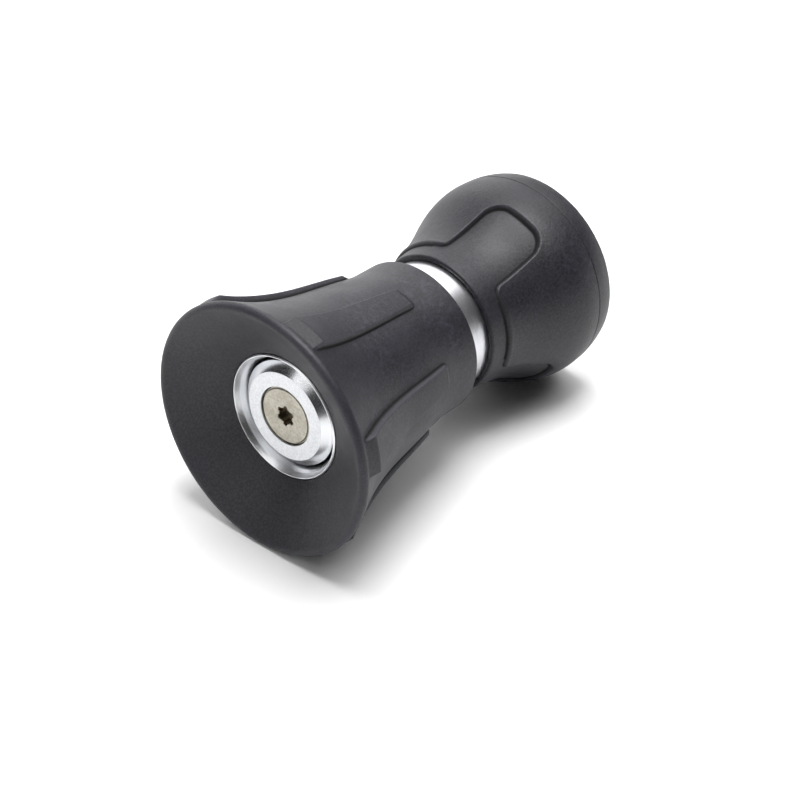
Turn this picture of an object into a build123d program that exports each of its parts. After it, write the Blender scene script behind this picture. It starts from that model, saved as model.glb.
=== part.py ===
from build123d import *
from math import cos, radians, sin
import os

# A one-hand twist nozzle for a 1 inch fire hose.
# Millimetres. X is the nozzle's axis: the hose thread starts at x = 0 and the spray end is at +X.
# +Z is up. Radii are measured from the axis. The barrel is modelled in its OFF position, fully forward.

# ---- Driving dimensions ----
TIP_X = 110.0              # front of the rubber rim
REAR_X = -1.0              # rear of the rubber grip
RIM_R = 35.0               # rim of the front bumper
TUBE_R = 18.1              # turned outside of the body tube
WATERWAY_R = 11.0
THREAD_MINOR_R = 15.55     # female 1 inch fire hose thread, 8 threads per inch
THREAD_PITCH = 3.175
THREAD_LENGTH = 12.0
TWIST = 120.0              # degrees of barrel twist, from OFF to wide fog
TRAVEL = 8.0               # barrel travel over that twist
GUIDE_COUNT = 3
RIB_COUNT = 6
LOBE_COUNT = 3
PHASE = 18.0               # first rib and first lobe, degrees from +Z towards +Y

# ---- Stations along the axis ----
BARREL_REAR_X = 49.6
GRIP_FRONT_X = 41.3
MOUTH_X = 41.0             # where the grip's mouth meets the body tube
SEAM_X = 6.7               # between the grip and its end ring
WASHER_SEAT_X = 16.3       # rear face of the coupling's web
TAIL_X = 18.3              # rear end of the body tube, against the web
SPIDER_FRONT_X = 28.3
SHOULDER_X = 36.0          # front end of the inlet coupling
TUBE_FRONT_X = 79.0
GUIDE_X = 61.0             # guide screws, barrel OFF
SEAT_REAR_X = 88.0
SHELL_FRONT_X = 98.5
SEAT_FRONT_X = TIP_X - 9.1
DISC_FRONT_X = TIP_X - 9.8
DISC_BACK_X = 95.5
HEAD_FRONT_X = TIP_X - 10.0
HEAD_BACK_X = 96.9

# ---- Fits ----
SLIDE_BORE_R = TUBE_R + 0.3
RUNNING = 0.05             # radial clearance of the bearing and wiper rings
RING_SLACK = 0.03          # radial clearance of the O-rings
SIDE_SLACK = 0.1           # clearance at each side of a captive ring

# ---- Barrel ----
SHELL_R = 20.7
SHELL_MID_R = 21.6
SHELL_FRONT_R = 22.4
GLIDE_GROOVE_R = TUBE_R + 1.3
WIPER_GROOVE_R = TUBE_R + 1.5
O_RING_GROOVE_R = TUBE_R + 1.8
GUIDE_GROOVE_R = TUBE_R - 2.2      # bottom of the helical guide grooves
SEAT_THREAD_R = 19.3
SEAT_GROOVE_R = SEAT_THREAD_R + 1.0
SEAT_RING_R = 17.36
RIM_ROUND = 1.5
RIB_REAR_HEIGHT = 1.3
RIB_FRONT_HEIGHT = 2.1
RIB_FACET = (103.6, 34.98)    # x and radius where the sloping front of a rib begins

# ---- Inlet ----
COUPLING_R = 22.0
SOCKET_R = 15.5
TAIL_GROOVE_R = 14.0
SOCKET_OUTER_R = 18.3
WASHER_POCKET_R = 18.4

# ---- Stem ----
STEM_THREAD_R = 3.0
STEM_R = 4.5
STEM_COLLAR_R = 8.0
STEM_COLLAR_X = 90.0
HEAD_R = 7.98


# ---- Helpers ----
def turned(outline):
    """A solid turned about the X axis from a closed outline of (x, radius) points."""
    return revolve(make_face(Polyline(*outline, close=True).edges()), Axis.X)


def turned_edges(*edges):
    """A solid turned about the X axis from edges that close a loop."""
    return revolve(make_face(list(edges)), Axis.X)


def tube(x_start, x_end, inner_r, outer_r):
    return turned([(x_start, inner_r), (x_start, outer_r), (x_end, outer_r), (x_end, inner_r)])


def o_ring(x, middle_r, section_r):
    """A round-section ring about the X axis."""
    section = Pos(x, middle_r) * Circle(section_r)
    return revolve(section, Axis.X)


def rod(x_start, x_end, radius):
    """A solid cylinder on the axis."""
    return Pos((x_start + x_end) / 2, 0, 0) * Rot(0, 90, 0) * Cylinder(radius, x_end - x_start)


def around(angle):
    """Turns a feature that is built at +Z to an angle measured from +Z towards +Y."""
    return Rot(-angle, 0, 0)


def spoke(x, angle, radius, start_r, end_r):
    """A radial cylinder, standing out from the axis."""
    middle = Pos(x, 0, (start_r + end_r) / 2)
    return around(angle) * middle * Cylinder(radius, end_r - start_r)


def helix_cut(pitch, length, start_x, angle, radius, outline):
    """A right-hand helical cut that starts at start_x and angle and runs forward.

    The outline's X is radial and its Y is along the axis.
    """
    path = Helix(pitch=pitch, height=length, radius=radius)
    section = Plane(origin=path @ 0, x_dir=(1, 0, 0), z_dir=path % 0) * outline
    cut = sweep(section, path=path, is_frenet=True)
    return Pos(start_x, 0, 0) * around(angle) * Rot(180, 0, 0) * Rot(0, 90, 0) * cut


def save(name, shape):
    os.makedirs("parts", exist_ok=True)
    shape.label = name
    export_step(shape, f"parts/{name}.step")


# ---- Body ----
def guide_angle(index):
    return index * 360 / GUIDE_COUNT


def body_tube():
    """The turned tube that everything is built on, with the barrel's three helical guide grooves."""
    groove_half_width = 2.1
    blank = turned([
        (TAIL_X, 12.5), (SPIDER_FRONT_X, 12.5), (SPIDER_FRONT_X, WATERWAY_R),
        (TUBE_FRONT_X, WATERWAY_R), (TUBE_FRONT_X, TUBE_R - 0.8), (TUBE_FRONT_X - 0.8, TUBE_R),
        (SHOULDER_X, TUBE_R), (SHOULDER_X, SOCKET_R),
        (33.4, SOCKET_R), (33.4, TAIL_GROOVE_R), (31.0, TAIL_GROOVE_R), (31.0, SOCKET_R), (TAIL_X, SOCKET_R),
    ])
    middle_r = (GUIDE_GROOVE_R + TUBE_R + 1) / 2
    slot = Rectangle(TUBE_R + 1 - GUIDE_GROOVE_R, 2 * groove_half_width)
    lead = TRAVEL * 360 / TWIST
    for index in range(GUIDE_COUNT):
        front = guide_angle(index)
        rear = front + TWIST
        blank -= helix_cut(lead, TRAVEL, GUIDE_X - TRAVEL, rear, middle_r, slot)
        blank -= spoke(GUIDE_X, front, groove_half_width + 0.05, GUIDE_GROOVE_R, TUBE_R + 1)
        blank -= spoke(GUIDE_X - TRAVEL, rear, groove_half_width + 0.05, GUIDE_GROOVE_R, TUBE_R + 1)
    return blank


def inlet_coupling():
    """The socket for the hose. Its female thread is a helical groove that runs out at the mouth."""
    blank = turned([
        (-0.6, THREAD_MINOR_R + 0.6), (0, THREAD_MINOR_R), (THREAD_LENGTH, THREAD_MINOR_R),
        (THREAD_LENGTH, WASHER_POCKET_R), (WASHER_SEAT_X, WASHER_POCKET_R), (WASHER_SEAT_X, WATERWAY_R),
        (TAIL_X, WATERWAY_R), (TAIL_X, SOCKET_R), (SHOULDER_X, SOCKET_R), (SHOULDER_X, SOCKET_OUTER_R),
        (22.0, SOCKET_OUTER_R), (17.0, COUPLING_R), (-0.6, COUPLING_R),
    ])
    groove = Polygon((-0.4, -0.75), (1.35, -0.3), (1.35, 0.3), (-0.4, 0.75), align=None)
    run_out = 3.0
    blind_end = 1.0
    length = run_out + THREAD_LENGTH - blind_end
    return blank - helix_cut(THREAD_PITCH, length, -run_out, 0, THREAD_MINOR_R, groove)


def coupling_o_ring():
    section_r = (SOCKET_R - TAIL_GROOVE_R) / 2 - RING_SLACK
    return o_ring(32.2, (TAIL_GROOVE_R + SOCKET_R) / 2, section_r)


def hose_washer():
    return tube(12.3, 15.5, 13.5, WASHER_POCKET_R - 0.2)


def inlet_strainer():
    """A perforated disc, with its holes in rings about the axis."""
    disc = rod(15.5, WASHER_SEAT_X, WASHER_POCKET_R - 0.6)
    hole_pitch = 3.1
    disc -= rod(15.0, 17.0, 0.9)
    for ring in (1, 2, 3):
        for index in range(6 * ring):
            angle = radians(index * 60 / ring)
            place = Pos(0, ring * hole_pitch * cos(angle), ring * hole_pitch * sin(angle))
            disc -= place * rod(15.0, 17.0, 0.9)
    return disc


def stem_spider():
    """A hub on three vanes, in a ring that the coupling's web clamps in the body tube."""
    vane_thickness = 2.0
    hub_r = 5.5
    hub_x = 23.3
    spider = tube(TAIL_X, SPIDER_FRONT_X, WATERWAY_R, 12.5)
    hub = rod(hub_x, SPIDER_FRONT_X, hub_r)
    for index in range(3):
        length = WATERWAY_R + 0.5
        centre = Pos((hub_x + SPIDER_FRONT_X) / 2, 0, length / 2)
        hub += around(60 + index * 120) * centre * Box(SPIDER_FRONT_X - hub_x, vane_thickness, length)
    spider += hub
    return spider - rod(hub_x - 1, SPIDER_FRONT_X + 1, STEM_THREAD_R)


def stem():
    """The rod on the axis, threaded behind, with a collar and a tapped hole in front."""
    shaft = turned([
        (16.8, 0), (16.8, STEM_THREAD_R), (SPIDER_FRONT_X, STEM_THREAD_R), (SPIDER_FRONT_X, STEM_R),
        (STEM_COLLAR_X - 3.5, STEM_R), (STEM_COLLAR_X, STEM_COLLAR_R),
        (STEM_COLLAR_X + 1.5, STEM_COLLAR_R), (STEM_COLLAR_X + 1.5, 0),
    ])
    return shaft - rod(81.0, STEM_COLLAR_X + 2, STEM_THREAD_R)


def stem_washer():
    return tube(22.3, 23.3, STEM_THREAD_R + 0.1, 6.0)


def stem_nut():
    across_flats = 10.0
    nut = Pos(17.3, 0, 0) * Rot(0, 90, 0) * extrude(RegularPolygon(across_flats / 2, 6, major_radius=False), 5.0)
    return nut - rod(17.0, 23.0, STEM_THREAD_R)


def seal_backing_washer():
    return tube(STEM_COLLAR_X + 1.5, STEM_COLLAR_X + 2.5, STEM_THREAD_R + 0.1, 12.0)


def baffle_seal():
    """The rubber ring behind the disc. Its cone lies 0.4 mm ahead of the seat ring's cone."""
    rear = STEM_COLLAR_X + 2.5
    return turned([
        (rear, STEM_THREAD_R + 0.1), (rear, 13.0), (94.2, 14.4), (DISC_BACK_X, 14.4),
        (DISC_BACK_X, STEM_THREAD_R + 0.1),
    ])


def baffle_disc():
    """The disc that shapes the spray, with a bevelled edge and a counterbore for its screw."""
    edge_r = 14.6
    edge_break = 0.15
    flat_r = 12.27
    bore_r = STEM_THREAD_R + 0.1
    return turned([
        (98.3, edge_r - edge_break), (98.3 - edge_break, edge_r), (96.4, edge_r), (DISC_BACK_X, edge_r - 0.9),
        (DISC_BACK_X, bore_r), (HEAD_BACK_X, bore_r), (HEAD_BACK_X, HEAD_R + 0.3),
        (DISC_FRONT_X, HEAD_R + 0.3), (DISC_FRONT_X, flat_r),
    ])


def baffle_screw():
    """A flat-topped screw with a six-lobe recess, 5.6 mm across its points, that has a chamfered mouth."""
    rounding = 0.5
    edge = [(HEAD_FRONT_X - rounding, HEAD_R), (HEAD_BACK_X, HEAD_R), (HEAD_BACK_X, STEM_THREAD_R),
            (82.0, STEM_THREAD_R), (82.0, 0), (HEAD_FRONT_X, 0), (HEAD_FRONT_X, HEAD_R - rounding)]
    corner = RadiusArc((HEAD_FRONT_X, HEAD_R - rounding), (HEAD_FRONT_X - rounding, HEAD_R), rounding)
    screw = turned_edges(*Polyline(*edge).edges(), corner)
    recess = Circle(2.15)
    for index in range(6):
        lobe_angle = radians(60 * index)
        recess += Pos(2.2 * cos(lobe_angle), 2.2 * sin(lobe_angle)) * Circle(0.6)
    recess_depth = 2.4
    screw -= Pos(HEAD_FRONT_X - recess_depth, 0, 0) * Rot(0, 90, 0) * extrude(recess, recess_depth + 1)
    face = screw.faces().filter_by(Axis.X).sort_by(Axis.X)[-1]
    return chamfer(face.inner_wires()[0].edges(), 0.2)


# ---- Rear grip ----
def grip_inside():
    """The grip's inner outline, from the seam forward to its mouth."""
    return [(SEAM_X, 28.2), (SEAM_X, COUPLING_R), (17.0, COUPLING_R), (22.0, SOCKET_OUTER_R),
            (SHOULDER_X, SOCKET_OUTER_R), (SHOULDER_X, TUBE_R), (MOUTH_X, TUBE_R), (GRIP_FRONT_X, 19.1)]


def grip_lip():
    return RadiusArc((GRIP_FRONT_X, 19.1), (GRIP_FRONT_X - 0.7, 19.8), 0.7)


def lobe_outline():
    """One finger recess seen from outside: straight sides, a rounded far end and a flared mouth."""
    half_width = 9.3
    far_x = 17.2
    corner = 5.0
    mouth_x = 33.5
    flare = 2.6
    right = [
        Line((far_x, 0), (far_x, half_width - corner)),
        RadiusArc((far_x, half_width - corner), (far_x + corner, half_width), corner),
        Line((far_x + corner, half_width), (mouth_x, half_width)),
        RadiusArc((mouth_x, half_width), (mouth_x + flare, half_width + flare), -flare),
        Line((mouth_x + flare, half_width + flare), (38.0, half_width + flare)),
        Line((38.0, half_width + flare), (38.0, 0)),
    ]
    half = make_face(right + [Line((38.0, 0), (far_x, 0))])
    return half + mirror(half, Plane.XZ)


def rear_grip():
    """The rubber bell. Three finger recesses run back from its neck."""
    neck = (36.3, 20.3)
    shoulder = (35.5, 21.3)
    bell = Spline(shoulder, (27.0, 23.5), (17.7, 27.35), (9.5, 28.7), (SEAM_X + 0.3, 28.5),
                  tangents=((-1, 0.12), (-1, -0.12)))
    outline = Polyline((SEAM_X + 0.3, 28.5), *grip_inside()).edges()
    grip = turned_edges(*outline, grip_lip(), Line((GRIP_FRONT_X - 0.7, 19.8), neck), Line(neck, shoulder), bell)
    floor = turned_edges(
        Line((10, 0), (10, 27.5)),
        Spline((10, 27.5), (17.7, 26.1), (27.0, 22.3), neck, tangents=((1, -0.05), (1, -0.12))),
        Line(neck, (42, 19.5)), Line((42, 19.5), (42, 0)), Line((42, 0), (10, 0)),
    )
    for index in range(LOBE_COUNT):
        prism = Pos(0, 0, 14) * extrude(lobe_outline(), 22)
        grip -= around(PHASE + index * 360 / LOBE_COUNT) * prism - floor
    return grip


def grip_end_ring():
    """The separate rubber ring that closes the rear of the grip."""
    corners = Polyline((REAR_X, 25.2), (REAR_X, COUPLING_R), (SEAM_X, COUPLING_R), (SEAM_X, 28.2),
                       (SEAM_X - 0.3, 28.5)).edges()
    side = ThreePointArc((SEAM_X - 0.3, 28.5), (3.4, 28.0), (0.5, 27.1))
    edge = ThreePointArc((0.5, 27.1), (-0.5, 26.4), (REAR_X, 25.2))
    return turned_edges(*corners, side, edge)


# ---- Barrel ----
def barrel_shell():
    """The aluminium sleeve under the bumper, with grooves for its rings and holes for its guide screws."""
    shell = turned([
        (50.2, SLIDE_BORE_R),
        (51.6, SLIDE_BORE_R), (51.6, WIPER_GROOVE_R), (54.0, WIPER_GROOVE_R), (54.0, SLIDE_BORE_R),
        (66.0, SLIDE_BORE_R), (66.0, GLIDE_GROOVE_R), (71.0, GLIDE_GROOVE_R), (71.0, SLIDE_BORE_R),
        (74.0, SLIDE_BORE_R), (74.0, O_RING_GROOVE_R), (76.6, O_RING_GROOVE_R), (76.6, SLIDE_BORE_R),
        (SEAT_REAR_X, SLIDE_BORE_R), (SEAT_REAR_X, SEAT_THREAD_R),
        (90.3, SEAT_THREAD_R), (90.3, SEAT_GROOVE_R), (91.7, SEAT_GROOVE_R), (91.7, SEAT_THREAD_R),
        (SHELL_FRONT_X, SEAT_THREAD_R), (SHELL_FRONT_X, SHELL_FRONT_R), (90.0, SHELL_FRONT_R),
        (82.0, SHELL_MID_R), (66.0, SHELL_MID_R), (62.0, SHELL_R), (50.2, SHELL_R),
    ])
    for index in range(GUIDE_COUNT):
        shell -= spoke(GUIDE_X, guide_angle(index), 2.5, 15.0, 24.0)
    return shell


def guide_screws():
    """Dog-point set screws. Each dog runs in one of the body tube's helical grooves."""
    screws = []
    for index in range(GUIDE_COUNT):
        angle = guide_angle(index)
        screw = spoke(GUIDE_X, angle, 2.5, SLIDE_BORE_R + 0.1, SHELL_R - 0.2)
        screw += spoke(GUIDE_X, angle, 1.9, GUIDE_GROOVE_R + 0.3, SLIDE_BORE_R + 0.2)
        socket = extrude(RegularPolygon(1.25, 6, major_radius=False), 3.0)
        screw -= around(angle) * Pos(GUIDE_X, 0, SHELL_R - 1.5) * socket
        screws.append(screw)
    return Compound(children=screws)


def seat_ring():
    """The ring that screws into the shell. Its inner cone is the valve seat and its front is bevelled."""
    return turned([
        (SEAT_REAR_X, 16.4), (SEAT_REAR_X, SEAT_THREAD_R), (SHELL_FRONT_X, SEAT_THREAD_R),
        (SHELL_FRONT_X, SEAT_RING_R), (SEAT_FRONT_X - 0.3, SEAT_RING_R), (SEAT_FRONT_X, SEAT_RING_R - 0.3),
        (SEAT_FRONT_X, 16.9), (99.5, 16.1), (97.6, 15.3), (94.6, 15.3), (92.3, 13.2), (90.8, 13.2),
    ])


def seat_ring_o_ring():
    section_r = (SEAT_GROOVE_R - SEAT_THREAD_R) / 2 - RING_SLACK
    return o_ring(91.0, (SEAT_THREAD_R + SEAT_GROOVE_R) / 2, section_r)


# The bumper's trumpet outline, from behind the rim to its straight rear
FLARE = [(107.83, 34.84), (99.1, 30.7), (90.9, 27.75), (82.6, 25.7), (68.0, 23.2), (57.0, 21.6)]


def rib_crest():
    """The line along a rib's back. It follows the flare and stands prouder of it towards the front."""
    front_x, rear_x = FLARE[1][0], FLARE[4][0]
    growth = (RIB_FRONT_HEIGHT - RIB_REAR_HEIGHT) / (front_x - rear_x)
    return [(x, r + RIB_REAR_HEIGHT + growth * (x - rear_x)) for x, r in FLARE[1:5]]


def rib_prism():
    """The space of one rib at +Z: wide at the rim and narrower towards the rear."""
    front_half_width = 5.2
    rear_half_width = 3.2
    outline = Polygon((62.0, rear_half_width), (62.0, -rear_half_width), (107.8, -front_half_width),
                      (107.8, front_half_width), align=None)
    return Pos(0, 0, 15) * extrude(outline, 25)


def rib_body():
    """The turned body that the ribs are cut from. It stands proud of the flare and ends at the rim."""
    rear = (64.0, 23.4)
    crest = Spline(*rib_crest(), rear, tangents=((-1, -0.5), (-1, -0.1)))
    land = Polyline(rib_crest()[0], RIB_FACET, (107.6, 34.75), (107.2, 33.5), (98.0, 23.5),
                    (62.4, 21.6), (62.4, 22.2), rear).edges()
    return turned_edges(*land, crest)


def front_bumper():
    """The rubber sleeve: a dished face, a rounded rim, a trumpet flare and six grip ribs."""
    centre_x = TIP_X - RIM_ROUND
    centre_r = RIM_R - RIM_ROUND

    def on_rim(angle):
        return (centre_x + RIM_ROUND * cos(radians(angle)), centre_r + RIM_ROUND * sin(radians(angle)))

    dish_end = on_rim(-28)
    flare_start = on_rim(116.6)
    dish_start = (100.5, SEAT_RING_R)
    dish = ThreePointArc(dish_start, (104.9, 24.7), dish_end)
    rim = ThreePointArc(dish_end, on_rim(44), flare_start)
    trumpet = Spline(flare_start, *FLARE[1:], tangents=((-1, -0.5), (-1, -0.03)))
    rear = RadiusArc((50.3, 21.5), (BARREL_REAR_X, 20.8), -0.7)
    inside = Polyline((BARREL_REAR_X, 20.8), (BARREL_REAR_X, TUBE_R + 0.5), (50.2, TUBE_R + 0.5), (50.2, SHELL_R),
                      (62.0, SHELL_R), (66.0, SHELL_MID_R), (82.0, SHELL_MID_R), (90.0, SHELL_FRONT_R),
                      (SHELL_FRONT_X, SHELL_FRONT_R), (SHELL_FRONT_X, SEAT_RING_R), dish_start).edges()
    sleeve = turned_edges(dish, rim, trumpet, Line(FLARE[-1], (50.3, 21.5)), rear, *inside)
    crown = rib_body()
    for index in range(RIB_COUNT):
        sleeve += crown & around(PHASE + index * 360 / RIB_COUNT) * rib_prism()
    return sleeve


# ---- Captive rings, which travel with the barrel ----
def glide_ring():
    return tube(66.0 + SIDE_SLACK, 71.0 - SIDE_SLACK, TUBE_R + RUNNING, GLIDE_GROOVE_R - RUNNING)


def wiper_ring():
    return tube(51.6 + SIDE_SLACK, 54.0 - SIDE_SLACK, TUBE_R + RUNNING, WIPER_GROOVE_R - RUNNING)


def barrel_o_ring():
    section_r = (O_RING_GROOVE_R - TUBE_R) / 2 - RING_SLACK
    return o_ring(75.3, (O_RING_GROOVE_R + TUBE_R) / 2, section_r)


PARTS = {
    "body_tube": body_tube,
    "inlet_coupling": inlet_coupling,
    "coupling_o_ring": coupling_o_ring,
    "hose_washer": hose_washer,
    "inlet_strainer": inlet_strainer,
    "stem_spider": stem_spider,
    "stem": stem,
    "stem_washer": stem_washer,
    "stem_nut": stem_nut,
    "seal_backing_washer": seal_backing_washer,
    "baffle_seal": baffle_seal,
    "baffle_disc": baffle_disc,
    "baffle_screw": baffle_screw,
    "rear_grip": rear_grip,
    "grip_end_ring": grip_end_ring,
    "barrel_shell": barrel_shell,
    "guide_screws": guide_screws,
    "seat_ring": seat_ring,
    "seat_ring_o_ring": seat_ring_o_ring,
    "front_bumper": front_bumper,
    "glide_ring": glide_ring,
    "wiper_ring": wiper_ring,
    "barrel_o_ring": barrel_o_ring,
}

for part_name, make in PARTS.items():
    save(part_name, make())
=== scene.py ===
"""The looks of a one-hand twist fire hose nozzle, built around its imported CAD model.

The frame's units are metres. Outlines here are in millimetres, and lathe() turns them into metres.
X is the nozzle's axis, with the hose thread at x = 0 and the spray end at +X. +Z is up.
"""

import math

import bpy
import numpy as np
from mathutils import Matrix, Vector

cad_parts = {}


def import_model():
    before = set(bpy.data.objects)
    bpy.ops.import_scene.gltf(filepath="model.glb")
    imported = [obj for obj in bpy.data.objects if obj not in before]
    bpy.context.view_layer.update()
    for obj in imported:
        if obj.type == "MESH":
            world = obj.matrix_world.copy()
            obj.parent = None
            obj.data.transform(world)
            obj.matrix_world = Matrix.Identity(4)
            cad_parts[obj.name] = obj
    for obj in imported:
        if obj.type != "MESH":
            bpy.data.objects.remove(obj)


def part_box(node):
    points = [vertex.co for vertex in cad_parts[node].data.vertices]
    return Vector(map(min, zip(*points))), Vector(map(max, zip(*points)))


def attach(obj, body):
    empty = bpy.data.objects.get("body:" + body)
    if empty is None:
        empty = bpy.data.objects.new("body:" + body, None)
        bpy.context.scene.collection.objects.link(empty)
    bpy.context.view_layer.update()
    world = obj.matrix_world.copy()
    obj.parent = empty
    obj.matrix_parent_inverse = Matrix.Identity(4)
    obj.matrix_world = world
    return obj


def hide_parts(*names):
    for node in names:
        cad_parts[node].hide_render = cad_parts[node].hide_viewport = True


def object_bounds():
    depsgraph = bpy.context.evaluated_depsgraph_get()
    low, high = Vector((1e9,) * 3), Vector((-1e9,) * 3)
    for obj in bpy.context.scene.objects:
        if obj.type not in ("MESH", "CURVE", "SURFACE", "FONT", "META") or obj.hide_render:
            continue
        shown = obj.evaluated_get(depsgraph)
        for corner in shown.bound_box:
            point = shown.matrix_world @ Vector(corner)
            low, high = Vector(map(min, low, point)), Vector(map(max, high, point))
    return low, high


MM = 0.001

# ---- Camera, as offsets from the middle of the CAD model's box ----
VIEW_AZIMUTH = 129.05
VIEW_ELEVATION = 34.94
VIEW_ROLL = 2.81
VIEW_DISTANCE = 0.6961         # metres
VIEW_LENS = 119.4              # millimetres, on a 36 mm sensor
AIM_OFFSET = Vector((0.0066, 0.0053, -0.0121))

# ---- Studio, in metres ----
SOFTBOX_SIZE = 0.8
SOFTBOX_DISTANCE = 1.4
SOFTBOXES = [                  # name, azimuth and elevation it shines from, watts
    ("overhead", 0, 89, 22.5),
    ("left", 0, 15, 4.8),
    ("front_low", 80, 15, 2.8),
    ("front_high", 84, 50, 3.0),
    ("behind_low", 320, 15, 4.2),
    ("behind_left", 320, 42, 4.2),
    ("behind", 280, 42, 4.9),
    ("right_high", 216, 68, 5.8),
]
SKY_LIGHT = 0.03
FLOOR_SIZE = 8.0
BACKDROP_REACH = (0.35, 0.75)  # from the rim: where the paper starts to turn plain white, and where it has

# ---- What the rubber pieces share, in millimetres ----
PHASE = 18.0                   # first rib and first lobe, degrees from +Z towards +Y
TUBE_R = 18.1                  # the body tube
COUPLING_R = 22.0              # the inlet coupling inside the grip
SEAM_X = 6.7                   # the seam between the grip and its end ring
SEAM_R = 28.5
SEAM_ROUND = 0.22
SEAM_FACE_R = 27.6             # a row of vertices partway down the two faces that meet at the seam
STEP_FILLET = 0.14             # rounding at the top and the foot of a moulded step
EDGE_SPREAD = 0.2              # how far wear and the painted highlight reach from a step's top edge

# ---- Front bumper, in millimetres. Its outline's points are x and radius ----
RIM_ROUND = 1.5
RIM_ARC = (-28, 116.6)         # degrees of the rim's rounding, from the dish to the flare
RIM_WEAR = 0.7
SEAT_RING_R = 17.36
DISH_EDGE = [(100.2, SEAT_RING_R), (100.5, SEAT_RING_R + 0.25)]  # where the dish meets the seat ring
DISH_MIDDLE = (104.9, 24.7)
FLARE = [(99.1, 30.7), (90.9, 27.75), (82.6, 25.7), (68.0, 23.2), (57.0, 21.6)]  # back from the rim
SLEEVE_R = 21.5                # the sleeve at its rear edge
REAR_ROUND = 0.75
REAR_FACE_R = 20.0             # a row of vertices halfway across the rear face
BORE_GAP = 0.5                 # between the sleeve's rear lip and the body tube
BORE_BREAK = 0.2               # the chamfer at that lip
SHELL = [(62.0, 20.7), (66.0, 21.6), (82.0, 21.6), (90.0, 22.4), (98.5, 22.4)]  # the bore around the shell

# ---- Grip ribs, in millimetres ----
RIB_COUNT = 6
RIB_PITCH = 2 * math.pi / RIB_COUNT
RIB_PROFILE = [(62.2, 0.0), (64.0, 1.3), (99.1, 2.1), (103.6, 2.3), (107.6, 0.0)]  # x, rise above the flare
RIB_PROFILE_ROUND = 0.2
RIB_ENDS = (62.0, 107.8)
RIB_MIDDLE = 80.0              # the dish and the bore have their vertices in line with the nearer end
RIB_HALF_WIDTHS = (3.2, 5.2)   # at the rear end and at the rim
RIB_CORNER_LENGTH = 3.0        # the rounded corners at the rear end
RIB_CORNER_DEPTH = 1.3
RIB_CORNER_TURN = 0.97         # 1 would let a corner end square to the axis
RIB_WALL = 0.32                # half the width of a rib's sloping side
RIB_CREASE_SHADE = 0.2               # how far the painted shade reaches from a rib's foot
CREST_COLUMNS = [0.0, 0.3, 0.6, 0.85]  # vertices on the crest, as shares of its flat half width
CREST_MARGIN = 0.9             # between that flat and the middle of the sloping side
WALL_COLUMNS = [-0.8, -0.56, -0.46, -0.39, -0.32, -0.24, 0.0, 0.24, 0.32, 0.39, 0.46, 0.56, 0.8]
GAP_COLUMNS = 11               # vertices between one rib's side and halfway to the next rib

# ---- Rear grip, in millimetres. Its outline's points are x and radius ----
MOUTH_X = 41.0                 # where the grip's mouth meets the body tube
LIP_R = 19.8                   # the rounded lip at the mouth
LIP_ROUND = 0.7
NECK = (36.3, 20.3)            # where the neck ends and the floor of each recess starts
SHOULDER = [(36.7, 20.27), (36.3, 20.38), (35.95, 20.8), (35.65, 21.16), (34.9, 21.42)]  # neck to bell
BELL_X = 9.5                   # the widest place of the grip
BELL_R = 28.7
BELL = [(35.5, 21.3), (27.0, 23.5), (17.7, 27.35), (BELL_X, BELL_R), (SEAM_X + 0.3, SEAM_R)]
SOCKET = [(17.0, COUPLING_R), (22.0, 18.3), (36.0, 18.3), (36.0, TUBE_R)]  # the bore around the coupling

# ---- Finger recesses, in millimetres ----
LOBE_COUNT = 3
LOBE_PITCH = 2 * math.pi / LOBE_COUNT
LOBE_HALF_WIDTH = 9.3
LOBE_FAR_X = 17.2              # where a recess ends on the bell
LOBE_CORNER = 5.0              # the radius of its two corners there
LOBE_MOUTH_X = 33.5            # where it starts to widen towards the neck
LOBE_FLARE = 2.6               # the radius of that widening
LOBE_WALL = 0.25               # half the width of a recess's sloping wall
LOBE_CREASE_SHADE = 0.32             # how far the painted shade reaches from the wall's foot and from the shoulder
LOBE_FLOOR = [(10.0, 27.5), (17.7, 26.1), (27.0, 22.3), NECK]  # x and radius
LOBE_EDGES = (0.12, 0.56)      # radians from a recess's middle: its walls lie between these
LOBE_COLUMNS = (5, 56, 19)     # vertices up to the walls, across them, and on to halfway between recesses

# ---- Grip end ring, in millimetres. Its outline's points are x and radius ----
END_FACE_R = 25.2              # where the flat rear face ends
END_CORNER = [(-0.5, 26.4), (0.5, 27.1)]  # the rounding's middle and end
END_SIDE = (3.4, 28.0)         # halfway from there to the seam
END_COLUMNS = 240

# ---- Finishes, in millimetres ----
DISC_FLAT_R = 12.27            # the flat of the baffle disc, inside its bevel
SCREW_RECESS_R = (3.1, 3.4)    # the screw's recess lies inside the first, and past the second all is face
SCREW_RECESS_DEPTH = (0.15, 0.05)  # it lies deeper than the first, and above the second all is face
TURNING_PITCH = 0.16           # between turning lines
DISC_EDGE = 0.05               # how sharply the disc's frosted flat ends
HANDLED_X = (98.0, 101.0)      # the rubber is scuffed behind the first and clean in front of the second


# ---- The frame and the scene ----
def corner_mm(node, which):
    """A CAD node's lowest (0) or highest (1) corner, in millimetres."""
    return Vector(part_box(node)[which]) / MM


def show(name, data):
    """A new object in the scene."""
    thing = bpy.data.objects.new(name, data)
    bpy.context.scene.collection.objects.link(thing)
    return thing


# ---- Outlines: lists of (x, radius). A step is the spacing of their points ----
def unit(direction):
    vector = np.array(direction, float)
    return vector / np.hypot(*vector)


def line(start, end, step):
    """Points from start up to but not including end."""
    start, end = np.array(start, float), np.array(end, float)
    count = max(1, int(round(np.hypot(*(end - start)) / step)))
    return [tuple(start + (end - start) * i / count) for i in range(count)]


def on_circle(centre, radius, angle):
    """A point of a circle. The angle is in degrees from +X towards +radius."""
    turn = math.radians(angle)
    return (centre[0] + radius * math.cos(turn), centre[1] + radius * math.sin(turn))


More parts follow.
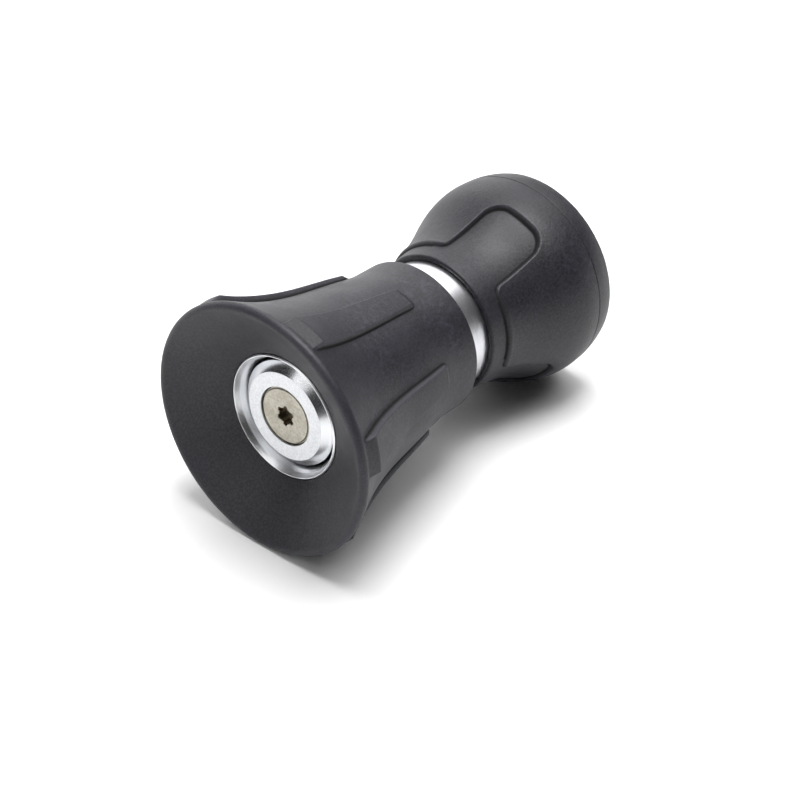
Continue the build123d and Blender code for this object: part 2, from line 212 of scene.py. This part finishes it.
def arc(centre, radius, start_angle, end_angle, step):
    """Points on an arc, without its last one."""
    sweep = end_angle - start_angle
    count = max(2, int(round(abs(math.radians(sweep)) * radius / step)))
    return [on_circle(centre, radius, start_angle + sweep * i / count) for i in range(count)]


def arc_through(start, middle, end, step):
    """Points on the arc through three points, without its last one."""
    (ax, ay), (bx, by), (cx, cy) = start, middle, end
    d = 2 * (ax * (by - cy) + bx * (cy - ay) + cx * (ay - by))
    sa, sb, sc = ax * ax + ay * ay, bx * bx + by * by, cx * cx + cy * cy
    centre = ((sa * (by - cy) + sb * (cy - ay) + sc * (ay - by)) / d,
              (sa * (cx - bx) + sb * (ax - cx) + sc * (bx - ax)) / d)
    first = math.degrees(math.atan2(ay - centre[1], ax - centre[0]))
    last = math.degrees(math.atan2(cy - centre[1], cx - centre[0]))
    turn = (last - first + 180) % 360 - 180
    return arc(centre, math.hypot(ax - centre[0], ay - centre[1]), first, first + turn, step)


def spline_slopes(points, spacing, start_direction, end_direction):
    """The slope at each point of the cubic spline through them that leaves and arrives as told."""
    count = len(points)
    matrix = np.zeros((count, count))
    right = np.zeros((count, 2))
    matrix[0, 0] = matrix[-1, -1] = 1
    right[0], right[-1] = unit(start_direction), unit(end_direction)
    for i in range(1, count - 1):
        before, after = spacing[i - 1], spacing[i]
        matrix[i, i - 1:i + 2] = after, 2 * (before + after), before
        rise, next_rise = points[i] - points[i - 1], points[i + 1] - points[i]
        right[i] = 3 * (after * rise / before + before * next_rise / after)
    return np.linalg.solve(matrix, right)


def spline(points, start_direction, end_direction, step):
    """Points on a smooth curve through the given points, without its last one."""
    p = np.array(points, float)
    h = np.hypot(*np.diff(p, axis=0).T)
    slopes = spline_slopes(p, h, start_direction, end_direction)
    result = []
    for i in range(len(p) - 1):
        pieces = max(1, int(round(h[i] / step)))
        for t in np.arange(pieces) / pieces:
            result.append(tuple(
                (2 * t**3 - 3 * t**2 + 1) * p[i] + (t**3 - 2 * t**2 + t) * h[i] * slopes[i]
                + (3 * t**2 - 2 * t**3) * p[i + 1] + (t**3 - t**2) * h[i] * slopes[i + 1]
            ))
    return result


# ---- Moulded steps ----
def rounded(curve, place, reach):
    """A curve's mean over five places within reach, which rounds its corners."""
    return sum(curve(place + shift) for shift in np.linspace(-reach, reach, 5)) / 5


def moulded_step(beyond, half_width):
    """1 on a moulded step and 0 past its foot, with a sloping wall between that is rounded at both ends."""
    return rounded(lambda place: np.clip(0.5 - place / (2 * half_width), 0, 1), beyond, STEP_FILLET)


def step_edges(beyond, half_width, crease_shade):
    """1 along the top edge of a moulded step, for worn edges with a painted highlight, and -1 along its foot,
    for painted shade.
    """
    top = np.exp(-((beyond + half_width) / EDGE_SPREAD) ** 2)
    foot = np.exp(-((beyond - half_width) / crease_shade) ** 2)
    return top - foot


# ---- What repeats about the axis ----
def there_and_back(right, half_pitch):
    """Angles from one feature's middle to the next one's, from the right half of the first."""
    return np.concatenate([right, [half_pitch], 2 * half_pitch - right[:0:-1]])


def from_nearest(angles, pitch):
    """Each angle measured from the middle of the nearest feature."""
    return (angles + pitch / 2) % pitch - pitch / 2


def turned_copies(angles, count):
    """One feature's angles, then the same for every other feature."""
    steps = [math.radians(PHASE) + 2 * math.pi / count * i for i in range(count)]
    return np.concatenate([angles + step for step in steps], axis=-1)


def copies(rows, count):
    """One feature's share of every outline row, then the same for every other feature."""
    return np.concatenate([np.array(rows)] * count, axis=1)


# ---- Turned meshes ----
def lathe(name, outline, angles, edge):
    """A closed mesh turned about X. outline is a list of (x, radius) in mm, or an array with a row of them
    for each outline point and a column for each angle. angles are radians from +Z towards +Y, one row for
    all or one for each outline point. edge is stored on each vertex: 1 on a worn edge that is also lightened
    as a painted highlight, and -1 at a step's foot, which is darkened as painted shade."""
    rows = len(outline)
    angles = np.broadcast_to(angles, (rows, np.shape(angles)[-1]))
    columns = angles.shape[1]
    outline = np.array(outline, float)
    if outline.ndim == 2:
        outline = np.repeat(outline[:, None, :], columns, axis=1)
    x, radius = outline[..., 0] * MM, outline[..., 1] * MM
    vertices = np.stack([x, radius * np.sin(angles), radius * np.cos(angles)], axis=-1)
    mesh = bpy.data.meshes.new(name)
    mesh.from_pydata(vertices.reshape(-1, 3).tolist(), [], lathe_faces(rows, columns))
    mesh.shade_smooth()
    wear_and_painted_light = mesh.attributes.new("edge", "FLOAT", "POINT")
    wear_and_painted_light.data.foreach_set("value", np.broadcast_to(edge, (rows, columns)).astype(np.float32).ravel())
    mesh.update()
    return show(name, mesh)


def lathe_faces(rows, columns):
    """Four-sided faces between neighbouring rows and columns, closed both ways round."""
    row, column = np.meshgrid(np.arange(rows), np.arange(columns), indexing="ij")
    next_row, next_column = (row + 1) % rows, (column + 1) % columns
    faces = np.stack([row * columns + column, row * columns + next_column,
                      next_row * columns + next_column, next_row * columns + column], axis=-1)
    return faces.reshape(-1, 4).tolist()


def stand_in(piece, node, body):
    """Shows a piece in place of the CAD node that it was built from."""
    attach(piece, body)
    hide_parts(node)


# ---- Front bumper ----
def bumper_bore(rear_x):
    """The inside, from the rear face to the seat ring: clear of the body tube, then over the barrel shell."""
    shell_x = corner_mm("barrel_shell", 0).x
    bore_r = TUBE_R + BORE_GAP
    lip = [(rear_x, REAR_FACE_R), (rear_x, bore_r + BORE_BREAK), (rear_x + BORE_BREAK, bore_r)]
    step = [(shell_x, bore_r), (shell_x, SHELL[0][1])]
    return lip + step + SHELL + [(SHELL[-1][0], SEAT_RING_R)]


def bumper_outline():
    """The sleeve's outline, the rows of its rounded rim and the rows of its ribbed outside."""
    tip_x, rim_r = corner_mm("front_bumper", 1)[:2]
    rear_x = corner_mm("front_bumper", 0).x
    centre = (tip_x - RIM_ROUND, rim_r - RIM_ROUND)
    rim_start, rim_end = [on_circle(centre, RIM_ROUND, angle) for angle in RIM_ARC]
    dish = DISH_EDGE[:1] + arc_through(DISH_EDGE[1], DISH_MIDDLE, rim_start, 0.6)
    rim = arc(centre, RIM_ROUND, *RIM_ARC, 0.2)
    flare = spline([rim_end] + FLARE, (-1, -0.5), (-1, -0.03), 0.4)
    sleeve = line(FLARE[-1], (rear_x + REAR_ROUND, SLEEVE_R), 0.8)
    rear = arc((rear_x + REAR_ROUND, SLEEVE_R - REAR_ROUND), REAR_ROUND, 90, 180, 0.15)
    outline = dish + rim + flare + sleeve + rear + bumper_bore(rear_x)
    rim_rows = range(len(dish), len(dish) + len(rim))
    ribbed_rows = range(rim_rows.stop, rim_rows.stop + len(flare) + len(sleeve))
    return outline, rim_rows, ribbed_rows


def rib_half_width(x):
    """Half of a rib's width at each x: wide at the rim, narrow at the rear, with rounded rear corners."""
    straight = np.interp(x, RIB_ENDS, RIB_HALF_WIDTHS)
    corner = np.clip((RIB_ENDS[0] + RIB_CORNER_LENGTH - x) / RIB_CORNER_LENGTH, 0, 1)
    return straight - RIB_CORNER_DEPTH * (1 - np.sqrt(1 - corner**2 * RIB_CORNER_TURN))


def rib_lift(x):
    """How far a rib's crest stands above the flare at each x."""
    stations, heights = zip(*RIB_PROFILE)
    return rounded(lambda place: np.interp(place, stations, heights), x, RIB_PROFILE_ROUND)


def rib_columns(half_width, radius):
    """Angles of one row's vertices. They follow each rib's sides, close together across its walls."""
    crest = [share * (half_width - CREST_MARGIN) for share in CREST_COLUMNS]
    side = np.concatenate([crest, half_width + np.array(WALL_COLUMNS)])
    side_angles = np.arcsin(side / radius)
    half_pitch = RIB_PITCH / 2
    shares = np.linspace(0, 1, GAP_COLUMNS + 2)[1:-1]
    gap = side_angles[-1] + (half_pitch - side_angles[-1]) * shares
    return there_and_back(np.concatenate([side_angles, gap]), half_pitch)


def ribbed_row(x, radius, ribbed):
    """One rib's share of an outline row: its points, their angles and their edge values, for worn edges with
    a painted highlight and for painted shade at the rib's foot.
    """
    nearer_end = RIB_ENDS[1] if x > RIB_MIDDLE else RIB_ENDS[0]
    half_width = rib_half_width(x if ribbed else nearer_end)
    angles = rib_columns(half_width, radius)
    beyond = np.abs(np.sin(from_nearest(angles, RIB_PITCH))) * radius - half_width
    lift = rib_lift(x) if ribbed else 0.0
    raised = radius + lift * moulded_step(beyond, RIB_WALL)
    points = np.stack([np.full_like(angles, x), raised], axis=-1)
    return points, angles, step_edges(beyond, RIB_WALL, RIB_CREASE_SHADE) * min(1.0, lift)


def front_bumper():
    """The rubber sleeve: a dished face, a rounded rim, a trumpet flare and six grip ribs."""
    outline, rim_rows, ribbed_rows = bumper_outline()
    shares = [ribbed_row(*point, index in ribbed_rows) for index, point in enumerate(outline)]
    points, angles, wear_and_painted_light = zip(*shares)
    wear_and_painted_light = copies(wear_and_painted_light, RIB_COUNT)
    wear_and_painted_light[rim_rows] = RIM_WEAR * np.hanning(len(rim_rows))[:, None]
    all_angles = turned_copies(np.array(angles), RIB_COUNT)
    piece = lathe("front_bumper_rubber", copies(points, RIB_COUNT), all_angles, wear_and_painted_light)
    stand_in(piece, "front_bumper", "barrel")


# ---- Rear grip ----
def grip_outline():
    """The grip's outline, and the rows of its outside, where the recesses are."""
    front_x = corner_mm("rear_grip", 1).x
    lip_x, lip_r = front_x - LIP_ROUND, LIP_R - LIP_ROUND
    lip = line((MOUTH_X, TUBE_R), (front_x, lip_r), 0.3)
    lip += arc((lip_x, lip_r), LIP_ROUND, -25, 90, 0.12)[1:]
    neck = line((lip_x, LIP_R), SHOULDER[0], 0.3)
    shoulder = spline(SHOULDER, (-1, 0.1), (-1, 0.1), 0.1)
    bell = [point for point in spline(BELL, (-1, 0.12), (-1, -0.12), 0.26) if point[0] < SHOULDER[-1][0]]
    seam = arc((SEAM_X + SEAM_ROUND, SEAM_R - SEAM_ROUND), SEAM_ROUND, 90, 180, 0.06)
    inside = [(SEAM_X, SEAM_FACE_R), (SEAM_X, COUPLING_R)] + SOCKET
    outside = neck + shoulder + bell
    return lip + outside + seam + inside, range(len(lip), len(lip) + len(outside))


def lobe_distance(x, across):
    """Distance in mm from one finger recess's outline, negative inside it."""
    across = np.abs(across)
    corner_x, corner_across = LOBE_FAR_X + LOBE_CORNER, LOBE_HALF_WIDTH - LOBE_CORNER
    dx, dy = corner_x - x, across - corner_across
    body = np.hypot(np.maximum(dx, 0), np.maximum(dy, 0)) + np.minimum(np.maximum(dx, dy), 0) - LOBE_CORNER
    mouth = LOBE_FLARE - np.hypot(x - LOBE_MOUTH_X, across - LOBE_HALF_WIDTH - LOBE_FLARE)
    in_mouth = (x > LOBE_MOUTH_X) & (across < LOBE_HALF_WIDTH + LOBE_FLARE)
    return np.where(in_mouth, mouth, body)


def lobe_columns():
    """Angles of one lobe's share of the grip, closest where a recess has its walls."""
    limits = [0.0, *LOBE_EDGES, LOBE_PITCH / 2]
    spans = [np.linspace(start, end, count, endpoint=False)
             for start, end, count in zip(limits, limits[1:], LOBE_COLUMNS)]
    return there_and_back(np.concatenate(spans), LOBE_PITCH / 2)


def recessed_row(x, radius, outside, angles, lobe_floor):
    """One lobe's share of an outline row: its points and their edge values, for worn edges with a painted
    highlight and for painted shade at the walls' foot and along the shoulder.
    """
    distance = lobe_distance(x, np.sin(from_nearest(angles, LOBE_PITCH)) * radius)
    sunk = moulded_step(distance, LOBE_WALL)
    depth = max(0.0, radius - np.interp(x, *lobe_floor)) if outside else 0.0
    points = np.stack([np.full_like(angles, x), radius - depth * sunk], axis=-1)
    # painted shade along the foot of the shoulder, beside the recesses
    neck_shade = math.exp(-((x - NECK[0]) / LOBE_CREASE_SHADE) ** 2) * (1 - sunk) * outside
    return points, step_edges(-distance, LOBE_WALL, LOBE_CREASE_SHADE) * min(1.0, depth) - neck_shade


def rear_grip():
    """The rubber bell. Three finger recesses run back from its neck."""
    outline, outside_rows = grip_outline()
    lobe_floor = np.array(spline(LOBE_FLOOR, (1, -0.05), (1, -0.12), 0.2) + LOBE_FLOOR[-1:]).T
    angles = lobe_columns()
    shares = [recessed_row(*point, index in outside_rows, angles, lobe_floor)
              for index, point in enumerate(outline)]
    points, wear_and_painted_light = [copies(share, LOBE_COUNT) for share in zip(*shares)]
    piece = lathe("rear_grip_rubber", points, turned_copies(angles, LOBE_COUNT), wear_and_painted_light)
    stand_in(piece, "rear_grip", "body")


def grip_end_ring():
    """The rubber ring that closes the rear of the grip."""
    rear_x = corner_mm("grip_end_ring", 0).x
    outline = [(rear_x, COUPLING_R)] + line((rear_x, COUPLING_R + 0.3), (rear_x, END_FACE_R), 0.6)
    outline += arc_through((rear_x, END_FACE_R), *END_CORNER, 0.2)
    outline += arc_through(END_CORNER[1], END_SIDE, (SEAM_X - SEAM_ROUND, SEAM_R), 0.4)
    outline += arc((SEAM_X - SEAM_ROUND, SEAM_R - SEAM_ROUND), SEAM_ROUND, 90, 0, 0.06)
    outline += [(SEAM_X, SEAM_FACE_R), (SEAM_X, COUPLING_R)]
    angles = np.linspace(0, 2 * math.pi, END_COLUMNS, endpoint=False)
    piece = lathe("grip_end_ring_rubber", outline, angles, 0.0)
    stand_in(piece, "grip_end_ring", "body")


# ---- Materials. Noise scales are in features per metre, and bump distances in metres ----
class Finish:
    """A node material around one Principled shader."""

    def __init__(self, name, **settings):
        self.material = bpy.data.materials.new(name)
        self.material.use_nodes = True
        self.nodes = self.material.node_tree.nodes
        self.links = self.material.node_tree.links
        self.shader = self.nodes["Principled BSDF"]
        for socket, value in settings.items():
            self.shader.inputs[socket.replace("_", " ")].default_value = value

    def add(self, kind, inputs=(), **settings):
        """A node with its settings, and its sockets set or linked."""
        node = self.nodes.new("ShaderNode" + kind)
        for key, value in settings.items():
            setattr(node, key, value)
        for socket, value in dict(inputs).items():
            if isinstance(value, bpy.types.NodeSocket):
                self.links.new(value, node.inputs[socket])
            else:
                node.inputs[socket].default_value = value
        return node

    def math_node(self, operation, first, second=0.0):
        return self.add("Math", {0: first, 1: second}, operation=operation).outputs[0]

    def place(self):
        return self.add("TexCoord").outputs["Object"]

    def along(self):
        """The distance along the nozzle's axis."""
        return self.add("SeparateXYZ", {0: self.place()}).outputs["X"]

    def radius(self):
        """The distance from the nozzle's axis."""
        parts = self.add("SeparateXYZ", {0: self.place()})
        squares = [self.math_node("POWER", parts.outputs[axis], 2.0) for axis in "YZ"]
        return self.math_node("SQRT", self.math_node("ADD", *squares))

    def turned_place(self):
        """A coordinate of (x, radius, 0), so that a texture on it is turned about the axis."""
        return self.add("CombineXYZ", {0: self.along(), 1: self.radius()}).outputs[0]

    def noise(self, place, scale, detail=2.0, roughness=0.5):
        inputs = {"Vector": place, "Scale": scale, "Detail": detail, "Roughness": roughness}
        return self.add("TexNoise", inputs).outputs["Fac"]

    def span(self, value, low, high, to_low, to_high):
        """A value from low to high spread over to_low to to_high."""
        node = self.add("MapRange", {0: value, 1: low, 2: high, 3: to_low, 4: to_high})
        return node.outputs[0]

    def mix(self, factor, first, second):
        """A colour between two colours."""
        node = self.add("Mix", {0: factor, 6: first, 7: second}, data_type="RGBA")
        return node.outputs[2]

    def bump(self, height, distance, strength, under=None):
        inputs = {"Height": height, "Distance": distance, "Strength": strength}
        if under is not None:
            inputs["Normal"] = under
        return self.add("Bump", inputs).outputs["Normal"]

    def drive(self, socket, value):
        self.links.new(value, self.shader.inputs[socket])


def grey(value):
    return (value, value, value, 1.0)


def cool_black(value):
    """The blue-violet black of the moulded rubber."""
    return (value * 1.05, value * 0.98, value * 1.4, 1.0)


def darker(colour, share):
    return tuple(channel * share for channel in colour[:3]) + (1.0,)


def rubber_scuffs(finish, place, speck, amount):
    """Patches of pale dust where hands hold the rubber, and none at the rim and the dish."""
    patches = finish.span(finish.noise(place, 60.0, 2.0), 0.45, 0.62, 0.0, amount)
    dust = finish.span(speck, 0.5, 0.64, 0.0, 1.0)
    handled = finish.span(finish.along(), *[x * MM for x in HANDLED_X], 1.0, 0.0)
    return finish.math_node("MULTIPLY", finish.math_node("MULTIPLY", patches, dust), handled)


def rubber(name, base, roughness, scuffed):
    """Moulded rubber: a fine grain, pale bloom in specks, dusty scuffs, worn edges lightened further as a
    painted highlight, and painted shade in the creases.
    """
    finish = Finish(name, IOR=1.5, Specular_IOR_Level=0.45)
    place = finish.place()
    mottle = finish.noise(place, 90.0, 4.0)
    grain = finish.noise(place, 1700.0, 2.0, 0.6)
    speck = finish.noise(place, 600.0, 3.0, 0.7)
    edge = finish.add("Attribute", attribute_name="edge").outputs["Fac"]
    # the mask of painted shade at the foot of each step
    crease_shade = finish.span(edge, -0.8, 0.0, 1.0, 0.0)
    layers = [                 # how much of each tone shows, and the tone as a multiple of base
        (finish.span(grain, 0.38, 0.66, 0.0, 1.0), 1.9),
        (finish.span(mottle, 0.3, 0.7, 0.0, 0.4), 1.5),
        (rubber_scuffs(finish, place, speck, scuffed), 4.0),
        # worn edges, lightened further as a painted highlight
        (finish.span(edge, 0.0, 1.0, 0.0, 0.5), 2.8),
        # painted shade at the foot of each step
        (crease_shade, 0.1),
    ]
    colour = cool_black(base * 0.4)
    for share, tone in layers:
        colour = finish.mix(share, colour, cool_black(base * tone))
    finish.drive("Base Color", colour)
    smooth = finish.span(mottle, 0.3, 0.7, roughness - 0.05, roughness + 0.05)
    finish.drive("Roughness", finish.math_node("ADD", smooth, finish.span(crease_shade, 0.0, 1.0, 0.0, 0.45)))
    coarse = finish.bump(speck, 0.0001, 0.6)
    finish.drive("Normal", finish.bump(grain, 0.00006, 0.8, coarse))
    return finish.material


def turned_metal(name, colour, roughness, line_depth=0.5):
    """Lathe-turned metal: fine lines about the axis, and a reflection that they stretch along it."""
    finish = Finish(name, Metallic=1.0, Anisotropic=0.5)
    lines = finish.noise(finish.turned_place(), 1 / (TURNING_PITCH * MM), 3.0, 0.7)
    cloud = finish.noise(finish.place(), 160.0, 3.0)
    stained = finish.mix(finish.span(cloud, 0.35, 0.7, 0.0, 1.0), colour, darker(colour, 0.85))
    finish.drive("Base Color", stained)
    finish.drive("Roughness", finish.span(lines, 0.3, 0.7, roughness - 0.05, roughness + 0.07))
    finish.drive("Normal", finish.bump(lines, 0.00001, line_depth))
    finish.drive("Tangent", finish.add("Tangent", direction_type="RADIAL", axis="X").outputs[0])
    return finish.material


def disc_aluminium():
    """The baffle disc: a frosted flat inside a polished bevel, with fine turning lines."""
    finish = Finish("disc_aluminium", Metallic=1.0)
    flat_end = [(DISC_FLAT_R + past) * MM for past in (-DISC_EDGE, DISC_EDGE)]
    bevel = finish.span(finish.radius(), *flat_end, 0.0, 1.0)
    frost = finish.noise(finish.place(), 1800.0, 2.0, 0.6)
    flat = finish.mix(finish.span(frost, 0.3, 0.7, 0.0, 1.0), (0.62, 0.63, 0.65, 1), (0.76, 0.77, 0.79, 1))
    finish.drive("Base Color", finish.mix(bevel, flat, (0.72, 0.73, 0.75, 1)))
    finish.drive("Roughness", finish.span(bevel, 0.0, 1.0, 0.45, 0.22))
    lines = finish.bump(finish.noise(finish.turned_place(), 6000.0, 3.0, 0.7), 0.00001, 0.12)
    finish.drive("Normal", finish.bump(frost, 0.00002, 0.5, lines))
    return finish.material


def screw_steel():
    """Stainless steel with a warm grey bead-blasted face, and a recess darkened partly by oxide and partly as
    painted shade.
    """
    finish = Finish("baffle_screw_steel", Metallic=1.0)
    place = finish.place()
    cloud = finish.noise(place, 260.0, 4.0, 0.6)
    pits = finish.noise(place, 3200.0, 2.0)
    stain = finish.noise(place, 1300.0, 3.0, 0.6)
    clouded = finish.span(cloud, 0.35, 0.65, 0.0, 1.0)
    face = finish.mix(clouded, (0.50, 0.475, 0.415, 1), (0.38, 0.355, 0.295, 1))
    face = finish.mix(finish.span(stain, 0.42, 0.68, 0.0, 0.6), face, (0.25, 0.235, 0.19, 1))
    front = corner_mm("baffle_screw", 1).x
    # The recess and its chamfer turn dark: partly oxide, partly painted shade.
    deep = finish.span(finish.along(), *[(front - depth) * MM for depth in SCREW_RECESS_DEPTH], 1.0, 0.0)
    inner = finish.span(finish.radius(), *[radius * MM for radius in SCREW_RECESS_R], 1.0, 0.0)
    recess = finish.math_node("MULTIPLY", deep, inner)
    finish.drive("Base Color", finish.mix(recess, face, (0.26, 0.23, 0.175, 1)))
    finish.drive("Roughness", finish.span(cloud, 0.3, 0.7, 0.34, 0.46))
    finish.drive("Normal", finish.bump(pits, 0.00002, 0.3))
    return finish.material


def plastic(name, colour, roughness):
    """A hard moulded or cast material with a slight orange-peel surface."""
    finish = Finish(name, IOR=1.48)
    place = finish.place()
    cloud = finish.noise(place, 200.0, 3.0)
    fine = finish.noise(place, 1500.0, 2.0)
    mottled = finish.mix(finish.span(cloud, 0.3, 0.7, 0.0, 1.0), colour, darker(colour, 0.85))
    finish.drive("Base Color", mottled)
    finish.drive("Roughness", finish.span(fine, 0.3, 0.7, roughness - 0.04, roughness + 0.06))
    finish.drive("Normal", finish.bump(fine, 0.00003, 0.3))
    return finish.material


def paint():
    """Gives every CAD node and every piece its material."""
    uses = [
        (rubber("barrel_rubber", 0.0115, 0.51, 0.45), ["front_bumper_rubber"]),
        (rubber("grip_rubber", 0.0105, 0.49, 0.25), ["rear_grip_rubber", "grip_end_ring_rubber"]),
        (turned_metal("satin_aluminium", (0.70, 0.70, 0.73, 1), 0.30, 0.25), ["body_tube"]),
        (turned_metal("bright_aluminium", (0.84, 0.85, 0.87, 1), 0.30, 0.3), ["seat_ring"]),
        (turned_metal("grey_anodised", (0.30, 0.31, 0.33, 1), 0.40), ["barrel_shell", "inlet_coupling"]),
        (turned_metal("turned_stainless", (0.58, 0.56, 0.52, 1), 0.30),
         ["guide_screws", "inlet_strainer", "stem_nut", "stem_washer", "seal_backing_washer"]),
        (turned_metal("brass_turned", (0.62, 0.44, 0.18, 1), 0.28), ["stem", "stem_spider"]),
        (disc_aluminium(), ["baffle_disc"]),
        (screw_steel(), ["baffle_screw"]),
        (plastic("white_acetal", (0.75, 0.74, 0.70, 1), 0.35), ["glide_ring"]),
        (plastic("black_seal", (0.012, 0.012, 0.013, 1), 0.55),
         ["coupling_o_ring", "hose_washer", "baffle_seal",
          "seat_ring_o_ring", "wiper_ring", "barrel_o_ring"]),
    ]
    for material, names in uses:
        for name in names:
            mesh = bpy.data.objects[name].data
            mesh.materials.clear()
            mesh.materials.append(material)


# ---- Studio ----
def aim(thing, place, target, roll=0.0):
    """Puts a camera or a light at a place, facing a target."""
    turn = (target - place).to_track_quat("-Z", "Y").to_matrix().to_4x4()
    thing.matrix_world = Matrix.Translation(place) @ turn @ Matrix.Rotation(roll, 4, "Z")


def direction(azimuth, elevation):
    """From the object towards a viewer, with azimuth 0 on the -Y side and 90 on the +X side."""
    a, e = math.radians(azimuth), math.radians(elevation)
    return Vector((math.sin(a) * math.cos(e), -math.cos(a) * math.cos(e), math.sin(e)))


def softbox(name, centre, azimuth, elevation, power):
    """A square soft light that faces the object."""
    data = bpy.data.lights.new(name, "AREA")
    data.shape = "SQUARE"
    data.size = SOFTBOX_SIZE
    data.energy = power
    aim(show(name, data), centre + direction(azimuth, elevation) * SOFTBOX_DISTANCE, centre)


def camera(centre):
    data = bpy.data.cameras.new("camera")
    data.lens = VIEW_LENS
    data.sensor_width = 36.0
    data.clip_start, data.clip_end = 0.01, 20.0
    view = show("camera", data)
    target = centre + AIM_OFFSET
    place = target + direction(VIEW_AZIMUTH, VIEW_ELEVATION) * VIEW_DISTANCE
    aim(view, place, target, math.radians(VIEW_ROLL))
    bpy.context.scene.camera = view


def floor():
    """A pale sheet that the rim and the bell both rest on, so it falls a little towards the spray end."""
    rim_x, rim_r = corner_mm("front_bumper", 1)[:2]
    rim_x -= RIM_ROUND
    tilt = math.atan2(rim_r - BELL_R, rim_x - BELL_X)
    half = FLOOR_SIZE / 2
    mesh = bpy.data.meshes.new("floor")
    corners = [(-half, -half, 0), (half, -half, 0), (half, half, 0), (-half, half, 0)]
    mesh.from_pydata(corners, [], [(0, 1, 2, 3)])
    mesh.materials.append(floor_paper())
    sheet = show("floor", mesh)
    drop = Vector((math.sin(tilt), 0, math.cos(tilt))) * rim_r
    sheet.location = (Vector((rim_x, 0, 0)) - drop) * MM
    sheet.rotation_euler = (0, tilt, 0)


def floor_paper():
    """White paper near the object that turns into the plain white backdrop further off."""
    finish = Finish("floor_paper", Roughness=0.9, Specular_IOR_Level=0.2)
    place = finish.place()
    fibre = finish.noise(place, 60.0, 3.0)
    finish.drive("Base Color", finish.mix(fibre, grey(0.86), grey(0.88)))
    distance = finish.add("VectorMath", {0: place}, operation="LENGTH").outputs["Value"]
    far = finish.span(distance, *BACKDROP_REACH, 0.0, 1.0)
    seen = finish.add("LightPath").outputs["Is Camera Ray"]
    backdrop = finish.add("Emission", {"Color": grey(1.0)}).outputs[0]
    shaders = {0: finish.math_node("MULTIPLY", far, seen), 1: finish.shader.outputs[0], 2: backdrop}
    mixed = finish.add("MixShader", shaders).outputs[0]
    finish.links.new(mixed, finish.nodes["Material Output"].inputs["Surface"])
    return finish.material


def world():
    """A white backdrop that gives the object only a little light of its own."""
    sky = bpy.data.worlds.new("studio")
    sky.use_nodes = True
    nodes, links = sky.node_tree.nodes, sky.node_tree.links
    seen = nodes.new("ShaderNodeLightPath")
    strength = nodes.new("ShaderNodeMapRange")
    strength.inputs["To Min"].default_value = SKY_LIGHT
    links.new(seen.outputs["Is Camera Ray"], strength.inputs["Value"])
    links.new(strength.outputs[0], nodes["Background"].inputs["Strength"])
    nodes["Background"].inputs["Color"].default_value = grey(1.0)
    bpy.context.scene.world = sky


def studio(centre):
    world()
    floor()
    for name, azimuth, elevation, power in SOFTBOXES:
        softbox(name, centre, azimuth, elevation, power)
    settings = bpy.context.scene.view_settings
    settings.view_transform = "Standard"
    settings.look = "None"


def main():
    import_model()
    cad_low, cad_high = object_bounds()
    front_bumper()
    rear_grip()
    grip_end_ring()
    paint()
    centre = (cad_low + cad_high) / 2
    camera(centre)
    studio(centre)


main()
